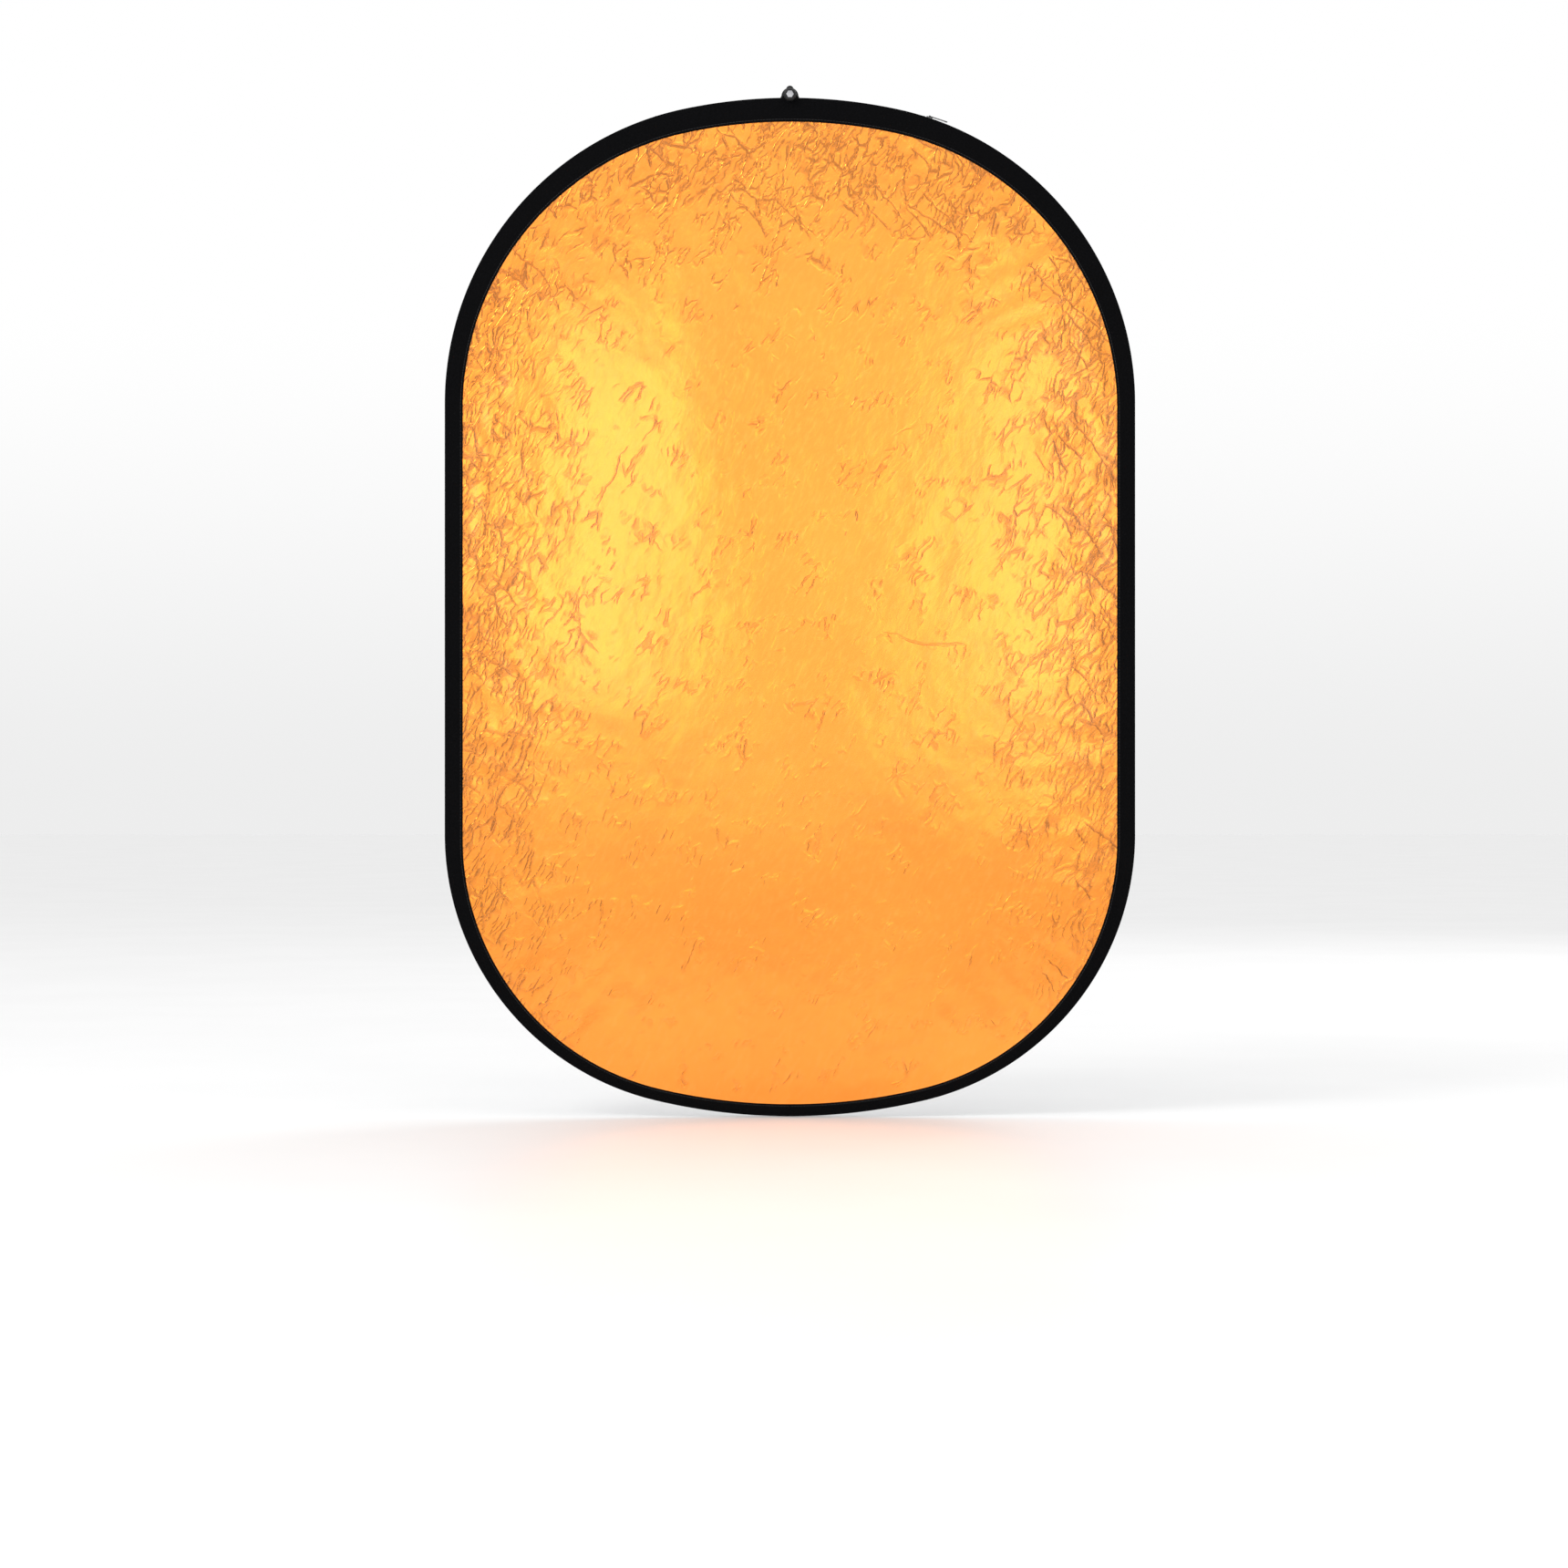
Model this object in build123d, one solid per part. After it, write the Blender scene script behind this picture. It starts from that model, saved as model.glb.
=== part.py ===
from build123d import *
from math import asin, cos, degrees, hypot, radians, sin, sqrt
import os

# Oval five-way reflector on a sprung grip. Millimetres, +Z up.
# The origin is the centre of the mouth of the bore that drops on a lighting stand.
# The bore opens down. The gold face looks along -Y.

os.makedirs("parts", exist_ok=True)

# ---- stand socket ----
bore_radius = 8.1
bore_depth = 30.0
socket_radius = 14.0
socket_floor = 5.0
socket_chamfer = 0.6
ring_radius = 12.85
ring_height = 3.5
neck_radius = 12.3
neck_height = 0.6

# ---- lock screw, along +X ----
lock_height = 14.0
screw_radius = 3.0
screw_clearance = 0.05
screw_pitch = 1.0
lock_turns = 2
pad_length = 2.1
pad_recess = 0.2
part_gap = 0.1
collar_radius = 5.5
collar_length = 2.5
knob_length = 29.0
knob_height = 13.0
knob_thickness = 9.0
knob_round = 2.4
knob_grip_depth = 6.0
knob_standoff = 0.5

# ---- swivel ----
stud_radius = 4.0
stud_press = 0.02
stud_running = 0.06
stud_head_radius = 6.5
stud_head_height = 3.0
washer_radius = 11.5
washer_thickness = 0.6
swivel_gap = 0.2
head_clearance = 0.7

# ---- elbow ----
elbow_radius = 12.5
elbow_height = 23.7
elbow_round = 2.0
elbow_chamfer = 0.5
shoulder_height = 14.2
cap_radius = 9.0
cap_thickness = 2.0
cap_press = 0.02
axis_height_in_elbow = 11.7

# ---- grip, along -Y ----
shaft_radius = 3.0
shaft_root = 7.0
rod_radius = 10.0
rod_end = 36.0
rod_core_radius = 4.5
rib_thickness = 2.6
disc_thickness = 1.6
disc_places = (14.5, 24.4)
sleeve_root = 28.0
sleeve_mouth = 66.0
sleeve_mouth_radius = 12.5
sleeve_root_radius = 13.3
sleeve_clearance = 0.35
sleeve_front_wall = 5.0
shaft_clearance = 0.4
flange_thickness = 3.2
flange_radius = 14.6
ear_span = 45.0
ear_width = 11.0
ear_blend = 5.0
notch_height = 10.6
notch_depth = 4.4
notch_drop = 5.3
lip_reach = 2.5
mouth_round = 0.8
notch_overrun = 0.05
spring_wire_radius = 0.7
spring_coil_radius = 6.4
spring_turns = 6
spring_end_gap = 0.1
tip_radius = 9.0
tip_length = 10.0
tip_round = 3.2
tip_groove_radius = 0.9
tip_groove_count = 12
tip_plain_length = 2.0
nut_width = 5.5
nut_depth = 2.6
nut_gap = 0.1

# ---- reflector outline ----
disc_width = 1010.0
disc_height = 1490.0
top_end_radius = 750.0
top_corner_radius = 440.0
bottom_end_radius = 850.0
bottom_corner_radius = 400.0
rim_below_shaft = 0.6

# ---- reflector layers ----
spring_width = 6.0
spring_thickness = 1.0
pocket_slip = 0.15
pocket_wall = 0.5
splice_thickness = 0.8
splice_length = 44.0
rivet_radius = 1.0
rivet_places = (6.0, 16.0)
rivet_clearance = 0.02
spring_end_gap_at_splice = 0.8
diffuser_thickness = 0.5
hem_gap = 0.05
hem_thickness = 0.6
hem_width = 15.0
diffuser_tuck = 3.0
cover_gap = 0.35
lining_thickness = 0.35
panel_thickness = 0.4
layer_gap = 0.05
binding_thickness = 0.7
binding_width = 26.5
opening_drop = 8.8
panel_inset = 1.6
jaw_gap = 0.3
cap_gap = 0.05
cut_depth = 60.0

# ---- zip ----
wrap_thickness = 0.8
wrap_edge = 1.9
tape_inset = 0.9
tape_thickness = 0.4
tape_edge = 0.3
coil_inner = 0.85
coil_height = 1.55
coil_edge = 0.5
coil_width = 1.0
slider_gap = 0.3
slider_plate = 0.8
slider_length = 9.0
slider_top_width = 6.4
slider_base_width = 5.6
slider_post_thickness = 0.4
slider_post_length = 1.0
slider_corner = 1.5
slider_past_corner = 48.4
lug_height = 2.0
lug_length = 2.8
lug_thickness = 0.8
lug_spacing = 2.6
pull_pin_radius = 0.5
pull_pin_clearance = 0.05
pull_thickness = 1.0
pull_width = 5.6
pull_length = 27.0
pull_hole_radius = 1.6
pull_side_gap = 0.3
pull_barrel_radius = 0.8
stop_distance = 8.0
stop_length = 2.0
stop_width = 1.5
coil_end_distance = 6.2

# ---- folding cover ----
fold_past_slider = 30.6
fold_gap = 0.2
zip_lead = 18.0

# ---- levels worked out from the values above ----
socket_height = bore_depth + socket_floor
elbow_base = socket_height + washer_thickness + swivel_gap
elbow_top = elbow_base + elbow_height
shoulder = elbow_base + shoulder_height
grip_height = elbow_base + axis_height_in_elbow
rim_top = grip_height - shaft_radius - rim_below_shaft
disc_middle = rim_top - disc_height / 2

# distances from the outline inwards
tape_inner = tape_inset + tape_thickness
slider_base_inset = tape_inner + slider_gap
core_inset = slider_base_inset + slider_plate + slider_gap
spring_inset = core_inset + pocket_wall + pocket_slip + splice_thickness
splice_inner = spring_inset + spring_thickness + splice_thickness
pocket_inner = splice_inner + pocket_slip
bead_inner = pocket_inner + pocket_wall
hem_inner = bead_inner + hem_width

# distances from the middle plane outwards
pocket_half = spring_width / 2 + layer_gap
bead_half = pocket_half + pocket_wall
hem_near = diffuser_thickness / 2 + hem_gap
lining_near = bead_half + cover_gap
lining_far = lining_near + lining_thickness
panel_near = lining_far + layer_gap
panel_far = panel_near + panel_thickness
binding_near = panel_far + layer_gap
rim_half = binding_near + binding_thickness

# the middle plane of the reflector lies where the grip's jaws close on the rim
disc_plane = -(sleeve_mouth + jaw_gap + rim_half)
tip_face = disc_plane - rim_half - cap_gap
front_face = disc_plane - rim_half
shaft_tip = tip_face - tip_length + nut_depth / 2

# the top corner arc, from the middle of the disc; angles on it are from the vertical
top_centre_x = disc_width / 2 - top_corner_radius
top_arc_gap = top_end_radius - top_corner_radius
top_centre_z = disc_height / 2 - top_end_radius + sqrt(top_arc_gap ** 2 - top_centre_x ** 2)
corner_start = degrees(asin(top_centre_x / top_arc_gap))
slider_angle = corner_start + degrees(slider_past_corner / top_corner_radius)
fold_angle = radians(slider_angle) + fold_past_slider / top_corner_radius
fold_height = disc_middle + top_centre_z + top_corner_radius * cos(fold_angle)
fold_below_top = rim_top - fold_height


def corner_x(distance):
    """Distance from the middle to the corner arc, short of the parked slider by distance."""
    angle = radians(slider_angle) - distance / top_corner_radius
    return top_centre_x + top_corner_radius * sin(angle)


coil_end_x = corner_x(coil_end_distance)
gusset_end_x = corner_x(stop_distance + stop_length)


front = -1
back = 1

# ---- shared shapes ----

def outline_wire(inset, y, drop=0.0):
    """Closed outline of the disc, moved inwards by inset and down by drop."""
    low_arc_gap = bottom_end_radius - bottom_corner_radius
    low_x = disc_width / 2 - bottom_corner_radius
    low_z = disc_height / 2 - bottom_end_radius + sqrt(low_arc_gap ** 2 - low_x ** 2)
    top_turn = radians(corner_start)
    low_turn = asin(low_x / low_arc_gap)
    half_width = disc_width / 2 - inset
    half_height = disc_height / 2 - inset

    def top_point(angle):
        reach = top_corner_radius - inset
        return top_centre_x + reach * sin(angle), top_centre_z + reach * cos(angle)

    def low_point(angle):
        reach = bottom_corner_radius - inset
        return low_x + reach * sin(angle), -low_z - reach * cos(angle)

    quarter = radians(90)
    right = [
        top_point(top_turn),
        top_point((top_turn + quarter) / 2),
        (half_width, top_centre_z),
        (half_width, -low_z),
        low_point((low_turn + quarter) / 2),
        low_point(low_turn),
    ]

    def place(point, side=1):
        return Vector(side * point[0], y, disc_middle - drop + point[1])

    a, b, c, d, e, f = [place(p) for p in right]
    g, h, i, j, k, m = [place(p, -1) for p in right]
    edges = [
        ThreePointArc(g, place((0, half_height)), a),
        ThreePointArc(a, b, c),
        Line(c, d),
        ThreePointArc(d, e, f),
        ThreePointArc(f, place((0, -half_height)), m),
        ThreePointArc(m, k, j),
        Line(j, i),
        ThreePointArc(i, h, g),
    ]
    return Wire(edges)


def plate(inset, near, far, side):
    """Flat sheet of the disc's outline between two distances from the middle plane."""
    y = disc_plane + side * near
    return extrude(Face(outline_wire(inset, y)), amount=far - near, dir=(0, side, 0))


def ring(outer, inner, near, far, side, drop=0.0):
    """Band between two outlines and two distances from the middle plane."""
    y = disc_plane + side * near
    face = Face(outline_wire(outer, y), [outline_wire(inner, y, drop)])
    return extrude(face, amount=far - near, dir=(0, side, 0))


def band(outer, inner, half):
    """Band that lies evenly on both sides of the middle plane."""
    return ring(outer, inner, -half, half, 1)


def slab(low, high, near, far, side):
    """Wide block between two heights and two distances from the middle plane."""
    y = disc_plane + side * (near + far) / 2
    return Pos(0, y, (low + high) / 2) * Box(2 * disc_width, far - near, high - low)


def above_fold(shape):
    """The part of a cover layer that stays sewn to the rim."""
    return shape & slab(fold_height + fold_gap, rim_top + rim_half, 0, 2 * rim_half, front)


def below_fold(shape, lead=0.0):
    """The part of a cover layer that folds away; lead leaves off its first stretch."""
    top = fold_height - fold_gap - lead
    return shape & slab(top - disc_height, top, 0, 2 * rim_half, front)


def lead_stretch(shape):
    """The short stretch of an edge layer, below the fold, that stays on the rim.

    It keeps below the cover's cloths, which swing away over it.
    """
    low = fold_height - zip_lead + fold_gap
    return shape & slab(low, fold_height + 2 * fold_gap, 0, lining_near, front)


def corner_frame(angle, side=1):
    """Frame on the top corner arc: X along the rim, Z outwards from the outline."""
    centre = Pos(side * top_centre_x, disc_plane, disc_middle + top_centre_z)
    return centre * Rotation(0, side * angle, 0) * Pos(0, 0, top_corner_radius)


def along_y(radius, start, end, x=0.0, z=0.0):
    """Round bar along the grip, between two distances in front of the swivel axis."""
    bar = Cylinder(radius, end - start)
    return Pos(x, -(start + end) / 2, grip_height + z) * Rotation(90, 0, 0) * bar


def along_x(radius, start, end):
    """Round bar along the lock screw."""
    bar = Cylinder(radius, end - start)
    return Pos((start + end) / 2, 0, lock_height) * Rotation(0, 90, 0) * bar


def upright(radius, low, high):
    """Round bar on the swivel axis."""
    return Pos(0, 0, (low + high) / 2) * Cylinder(radius, high - low)


# ---- stand socket and its lock ----

def stand_socket():
    step = ring_height + neck_height
    barrel = upright(socket_radius, step, socket_height)
    barrel = chamfer(barrel.edges().filter_by(GeomType.CIRCLE), socket_chamfer)
    body = barrel + upright(neck_radius, 0, step) + upright(ring_radius, 0, ring_height)
    body -= upright(bore_radius, -1, bore_depth)
    body -= upright(stud_radius + stud_press, bore_depth - 1, socket_height + 1)
    body -= along_x(screw_radius + screw_clearance, 0, 2 * socket_radius)
    return body


def pad_start():
    return bore_radius + pad_recess


def pad_end():
    return pad_start() + pad_length


def collar_start():
    return socket_radius + screw_pitch * lock_turns + knob_standoff


def collar_end():
    return collar_start() + collar_length


def pressure_pad():
    return along_x(screw_radius - part_gap, pad_start(), pad_end())


def lock_screw():
    return along_x(screw_radius, pad_end() + part_gap, collar_end() + knob_grip_depth)


def knob_collar():
    body = along_x(collar_radius, collar_start(), collar_end())
    return body - along_x(screw_radius + screw_clearance, 0, collar_end() + 1)


def lock_knob():
    outline = Plane.YZ * Ellipse(knob_length / 2, knob_height / 2)
    wing = extrude(Pos(collar_end(), 0, lock_height) * outline, amount=knob_thickness, dir=(1, 0, 0))
    wing = fillet(wing.edges(), knob_round)
    return wing - along_x(screw_radius + screw_clearance, 0, collar_end() + knob_grip_depth)


# ---- swivel and elbow ----

def swivel_stud():
    head_base = shoulder + swivel_gap
    shank = upright(stud_radius, bore_depth, head_base)
    head = upright(stud_head_radius, head_base, head_base + stud_head_height)
    return shank + chamfer(head.edges().group_by(Axis.Z)[-1], elbow_chamfer)


def friction_washer():
    washer = upright(washer_radius, socket_height, socket_height + washer_thickness)
    return washer - upright(stud_radius + part_gap, 0, elbow_top)


def elbow_body():
    body = upright(elbow_radius, elbow_base, elbow_top)
    body = fillet(body.edges().group_by(Axis.Z)[-1], elbow_round)
    body = chamfer(body.edges().group_by(Axis.Z)[0], elbow_chamfer)
    body -= upright(stud_radius + stud_running, 0, shoulder + 1)
    body -= upright(stud_head_radius + head_clearance, shoulder, elbow_top - cap_thickness + 1)
    body -= upright(cap_radius + cap_press, elbow_top - cap_thickness, elbow_top + 1)
    return body - along_y(shaft_radius + part_gap / 2, shaft_root, 2 * elbow_radius)


def elbow_cap():
    return upright(cap_radius, elbow_top - cap_thickness, elbow_top)


# ---- grip ----

def grip_shaft():
    return along_y(shaft_radius, shaft_root + part_gap, -shaft_tip)


def grip_rod():
    length = rod_end - shaft_root
    middle = Pos(0, -(rod_end + shaft_root) / 2, grip_height)
    across = middle * Box(2 * rod_radius, length, rib_thickness)
    upwards = middle * Box(rib_thickness, length, 2 * rod_radius)
    body = (across + upwards) & along_y(rod_radius, shaft_root, rod_end)
    body += along_y(rod_core_radius, shaft_root, rod_end)
    for place in disc_places:
        body += along_y(rod_radius, place, place + disc_thickness)
    body += along_y(rod_radius, rod_end - disc_thickness, rod_end)
    body -= upright(elbow_radius + cap_press, 0, 2 * elbow_top)
    return body - along_y(shaft_radius + part_gap / 2, 0, rod_end + 1)


def flange_outline():
    disc = Circle(flange_radius)
    ears = SlotOverall(ear_span, ear_width, rotation=90)
    shape = disc + ears
    inner = [v for v in shape.vertices() if hypot(v.X, v.Y) < flange_radius + 0.01]
    return fillet(inner, ear_blend)


def grip_sleeve():
    length = sleeve_mouth - sleeve_root
    taper = Cone(sleeve_mouth_radius, sleeve_root_radius, length)
    tube = Pos(0, -(sleeve_mouth + sleeve_root) / 2, grip_height) * Rotation(-90, 0, 0) * taper
    lip_bar = along_y(sleeve_mouth_radius, sleeve_mouth, sleeve_mouth + lip_reach)
    lip_floor = grip_height - notch_drop + notch_height / 2
    lip_block = Pos(0, -sleeve_mouth, lip_floor + sleeve_mouth_radius)
    lip = lip_bar & (lip_block * Box(4 * socket_radius, 4 * lip_reach, 2 * sleeve_mouth_radius))
    lip = fillet(lip.edges().group_by(Axis.Y)[0], mouth_round)
    face = Plane.XZ * flange_outline()
    start = Pos(0, -sleeve_root, grip_height)
    flange = extrude(start * face, amount=flange_thickness, dir=(0, -1, 0))
    body = tube + lip + flange
    inside = sleeve_mouth - sleeve_front_wall
    body -= along_y(rod_radius + sleeve_clearance, sleeve_root - 1, inside)
    body -= along_y(shaft_radius + shaft_clearance, inside - 1, sleeve_mouth + 2 * lip_reach)
    notch_middle = grip_height - notch_drop
    corners = [
        (-sleeve_mouth - notch_overrun, notch_middle + notch_height / 2),
        (-sleeve_mouth + notch_depth, notch_middle),
        (-sleeve_mouth - notch_overrun, notch_middle - notch_height / 2),
    ]
    wedge = Plane.YZ * Polygon(*corners, align=None)
    return body - extrude(wedge, amount=2 * sleeve_root_radius, both=True)


def grip_spring():
    start = rod_end + spring_wire_radius + spring_end_gap
    end = sleeve_mouth - sleeve_front_wall - spring_wire_radius - spring_end_gap
    path = Helix((end - start) / spring_turns, end - start, spring_coil_radius)
    section = Plane(path @ 0, z_dir=path % 0) * Circle(spring_wire_radius)
    coil = sweep(section, path=path, is_frenet=True)
    return Pos(0, -start, grip_height) * Rotation(90, 0, 0) * coil


def tip_cap():
    face = -tip_face
    body = along_y(tip_radius, face, face + tip_length)
    body = fillet(body.edges().group_by(Axis.Y)[0], tip_round)
    for number in range(tip_groove_count):
        turn = radians(360 * (number + 0.5) / tip_groove_count)
        x = (tip_radius + tip_groove_radius / 3) * cos(turn)
        z = (tip_radius + tip_groove_radius / 3) * sin(turn)
        body -= along_y(tip_groove_radius, face + tip_plain_length, face + tip_length + 1, x, z)
    body -= along_y(shaft_radius + part_gap / 2, face - 1, face + tip_length + 1)
    return body - along_y(nut_width, face + tip_length - nut_depth, face + tip_length + 1)


def tip_nut():
    hexagon = RegularPolygon(nut_width - nut_gap, 6) - Circle(shaft_radius + part_gap / 2)
    start = Pos(0, tip_face - tip_length + nut_depth, grip_height)
    return extrude(start * (Plane.XZ * hexagon), amount=nut_depth, dir=(0, -1, 0))


# ---- sprung core ----

def splice_pins(radius):
    """Four short bars through the splice, square to the spring where each one stands."""
    centre = Pos(0, disc_plane, disc_middle - disc_height / 2 + bottom_end_radius)
    reach = bottom_end_radius - spring_inset - spring_thickness / 2
    height = spring_thickness + 2 * splice_thickness
    turns = [degrees(side * place / reach) for place in rivet_places for side in (-1, 1)]
    return [centre * Rotation(0, turn, 0) * Pos(0, 0, -reach) * Cylinder(radius, height)
            for turn in turns]


def near_splice(shape, length):
    block = Pos(0, disc_plane, disc_middle - disc_height / 2) * Box(length, cut_depth, cut_depth)
    return shape & block


def spring_loop():
    body = band(spring_inset, spring_inset + spring_thickness, spring_width / 2)
    gap = Pos(0, disc_plane, disc_middle - disc_height / 2)
    body -= gap * Box(spring_end_gap_at_splice, cut_depth, cut_depth)
    for hole in splice_pins(rivet_radius + rivet_clearance):
        body -= hole
    return body


def splice_plates():
    outer = band(spring_inset - splice_thickness, spring_inset, spring_width / 2)
    inner = band(spring_inset + spring_thickness, splice_inner, spring_width / 2)
    plates = near_splice(outer, splice_length) + near_splice(inner, splice_length)
    for hole in splice_pins(rivet_radius + rivet_clearance):
        plates -= hole
    return plates


def splice_rivets():
    return Compound(children=splice_pins(rivet_radius))


def core_binding():
    bead = band(core_inset, bead_inner, bead_half)
    bead -= band(core_inset + pocket_wall, pocket_inner, pocket_half)
    bead += ring(bead_inner, hem_inner, hem_near, hem_near + hem_thickness, 1)
    return bead + ring(bead_inner, hem_inner, hem_near, hem_near + hem_thickness, -1)


def diffuser_panel():
    half = diffuser_thickness / 2
    return plate(bead_inner + diffuser_tuck, -half, half, 1)


# ---- zip-on cover ----

def cover_panel(side):
    return plate(panel_inset, panel_near, panel_far, side)


def cover_lining(side):
    return plate(panel_inset, lining_near, lining_far, side)


def binding_wrap(side):
    """The binding's narrow part, folded over the rim's edge."""
    return ring(0, wrap_thickness, wrap_edge, rim_half, side)


def binding_strip(side):
    """The binding's broad part, flat on the cover's face."""
    return ring(0, binding_width, binding_near, rim_half, side, opening_drop)


def zip_tape(side):
    return ring(tape_inset, tape_inner, tape_edge, panel_far, side)


def zip_coil(side):
    return ring(coil_inner - coil_height, coil_inner, coil_edge, coil_edge + coil_width, side)


def front_binding_yoke():
    kept = above_fold(binding_strip(front) + binding_wrap(front))
    return kept + lead_stretch(binding_wrap(front))


def front_zip_coil_yoke():
    coil = zip_coil(front)
    kept = above_fold(coil) + lead_stretch(coil)
    return kept - Pos(0, disc_plane, rim_top) * Box(2 * coil_end_x, cut_depth, disc_height)


def top_gusset():
    strip = band(0, wrap_thickness, wrap_edge - layer_gap)
    block = Pos(0, disc_plane, rim_top) * Box(2 * gusset_end_x, cut_depth, 2 * fold_below_top)
    return strip & block


def back_zip_coil():
    body = zip_coil(1)
    return body - Pos(0, disc_plane, rim_top) * Box(2 * coil_end_x, cut_depth, disc_width / 2)


def stop_angle(distance):
    return slider_angle - degrees(distance / top_corner_radius)


def top_stops():
    frame = corner_frame(stop_angle(stop_distance))
    middle = coil_edge + coil_width / 2
    height = Pos(0, 0, coil_height / 2 - coil_inner)
    stops = [frame * height * Pos(0, side * middle, 0) * Box(stop_length, stop_width, coil_height)
             for side in (-1, 1)]
    return Compound(children=stops)


def bottom_stop():
    frame = corner_frame(stop_angle(stop_distance), -1)
    width = 2 * (coil_edge + coil_width) + part_gap
    height = Pos(0, 0, coil_height / 2 - coil_inner)
    return frame * height * Box(stop_length, width, coil_height)


# ---- slider and pull ----

def top_plate_base():
    return coil_height - coil_inner + slider_gap


def slider_axis_height():
    return top_plate_base() + slider_plate + lug_height / 2


def zip_slider():
    base = top_plate_base()
    under = -slider_base_inset
    top = Pos(0, 0, base + slider_plate / 2) * Box(slider_length, slider_top_width, slider_plate)
    top = fillet(top.edges().filter_by(Axis.Z), slider_corner)
    bottom_box = Box(slider_length, slider_base_width, slider_plate)
    bottom = Pos(0, 0, under - slider_plate / 2) * bottom_box
    bottom = fillet(bottom.edges().filter_by(Axis.Z), slider_corner)
    post_x = (slider_post_length - slider_length) / 2 + slider_plate
    post_height = base - under + slider_plate
    post_box = Box(slider_post_length, slider_post_thickness, post_height)
    body = top + bottom + Pos(post_x, 0, (base + under) / 2) * post_box
    for side in (-1, 1):
        lug_y = side * (lug_spacing + lug_thickness) / 2
        lug = Box(lug_length, lug_thickness, lug_height + slider_plate)
        lug_z = base + slider_plate / 2 + lug_height / 2
        body += Pos(0, lug_y, lug_z) * lug
    hole = Rotation(90, 0, 0) * Cylinder(pull_pin_radius + pull_pin_clearance, 2 * slider_top_width)
    body -= Pos(0, 0, slider_axis_height()) * hole
    return corner_frame(slider_angle) * body


def zip_pull():
    pin_length = lug_spacing + 2 * lug_thickness
    barrel_length = lug_spacing - 2 * pull_side_gap
    pin = Rotation(90, 0, 0) * Cylinder(pull_pin_radius, pin_length)
    barrel = Rotation(90, 0, 0) * Cylinder(pull_barrel_radius, barrel_length)
    neck_end = lug_length / 2 + pull_side_gap + pull_width / 2
    neck = Pos(neck_end / 2, 0, 0) * Box(neck_end, barrel_length, pull_thickness)
    tab_start = lug_length / 2 + pull_side_gap
    tab = Pos((tab_start + pull_length) / 2, 0, 0)
    tab = tab * Box(pull_length - tab_start, pull_width, pull_thickness)
    tab = fillet(tab.edges().filter_by(Axis.Z), slider_corner)
    hole = Pos(pull_length - pull_width / 2, 0, 0) * Cylinder(pull_hole_radius, 2 * pull_thickness)
    body = pin + barrel + neck + tab - hole
    return corner_frame(slider_angle) * Pos(0, 0, slider_axis_height()) * body


# ---- one file for each piece ----

pieces = {
    "stand_socket": stand_socket(),
    "swivel_stud": swivel_stud(),
    "friction_washer": friction_washer(),
    "pressure_pad": pressure_pad(),
    "lock_screw": lock_screw(),
    "knob_collar": knob_collar(),
    "lock_knob": lock_knob(),
    "elbow_body": elbow_body(),
    "elbow_cap": elbow_cap(),
    "grip_rod": grip_rod(),
    "grip_shaft": grip_shaft(),
    "tip_cap": tip_cap(),
    "tip_nut": tip_nut(),
    "grip_sleeve": grip_sleeve(),
    "grip_spring": grip_spring(),
    "spring_loop": spring_loop(),
    "splice_plates": splice_plates(),
    "splice_rivets": splice_rivets(),
    "core_binding": core_binding(),
    "diffuser_panel": diffuser_panel(),
    "gold_panel": below_fold(cover_panel(front)),
    "gold_yoke": above_fold(cover_panel(front)),
    "white_lining": below_fold(cover_lining(front)),
    "white_lining_yoke": above_fold(cover_lining(front)),
    "front_binding": below_fold(binding_strip(front)) + below_fold(binding_wrap(front), zip_lead),
    "front_binding_yoke": front_binding_yoke(),
    "front_zip_tape": below_fold(zip_tape(front), zip_lead),
    "front_zip_tape_yoke": above_fold(zip_tape(front)) + lead_stretch(zip_tape(front)),
    "front_zip_coil": below_fold(zip_coil(front), zip_lead),
    "front_zip_coil_yoke": front_zip_coil_yoke(),
    "silver_panel": cover_panel(back),
    "black_lining": cover_lining(back),
    "back_binding": binding_strip(back) + binding_wrap(back),
    "back_zip_tape": zip_tape(back),
    "back_zip_coil": back_zip_coil(),
    "top_gusset": top_gusset(),
    "top_stops": top_stops(),
    "bottom_stop": bottom_stop(),
    "zip_slider": zip_slider(),
    "zip_pull": zip_pull(),
}
for name, piece in pieces.items():
    export_step(piece, f"parts/{name}.step")

pull_pin = corner_frame(slider_angle) * Pos(0, 0, slider_axis_height())
print("grip axis height", grip_height, "rim top", rim_top, "disc plane", disc_plane)
print("fold line y", front_face, "z", fold_height)
print("slider turns about x", top_centre_x, "z", disc_middle + top_centre_z)
print("pull pin", pull_pin.position)
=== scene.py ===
import bpy
import math
from mathutils import Matrix, Vector, noise


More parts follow.
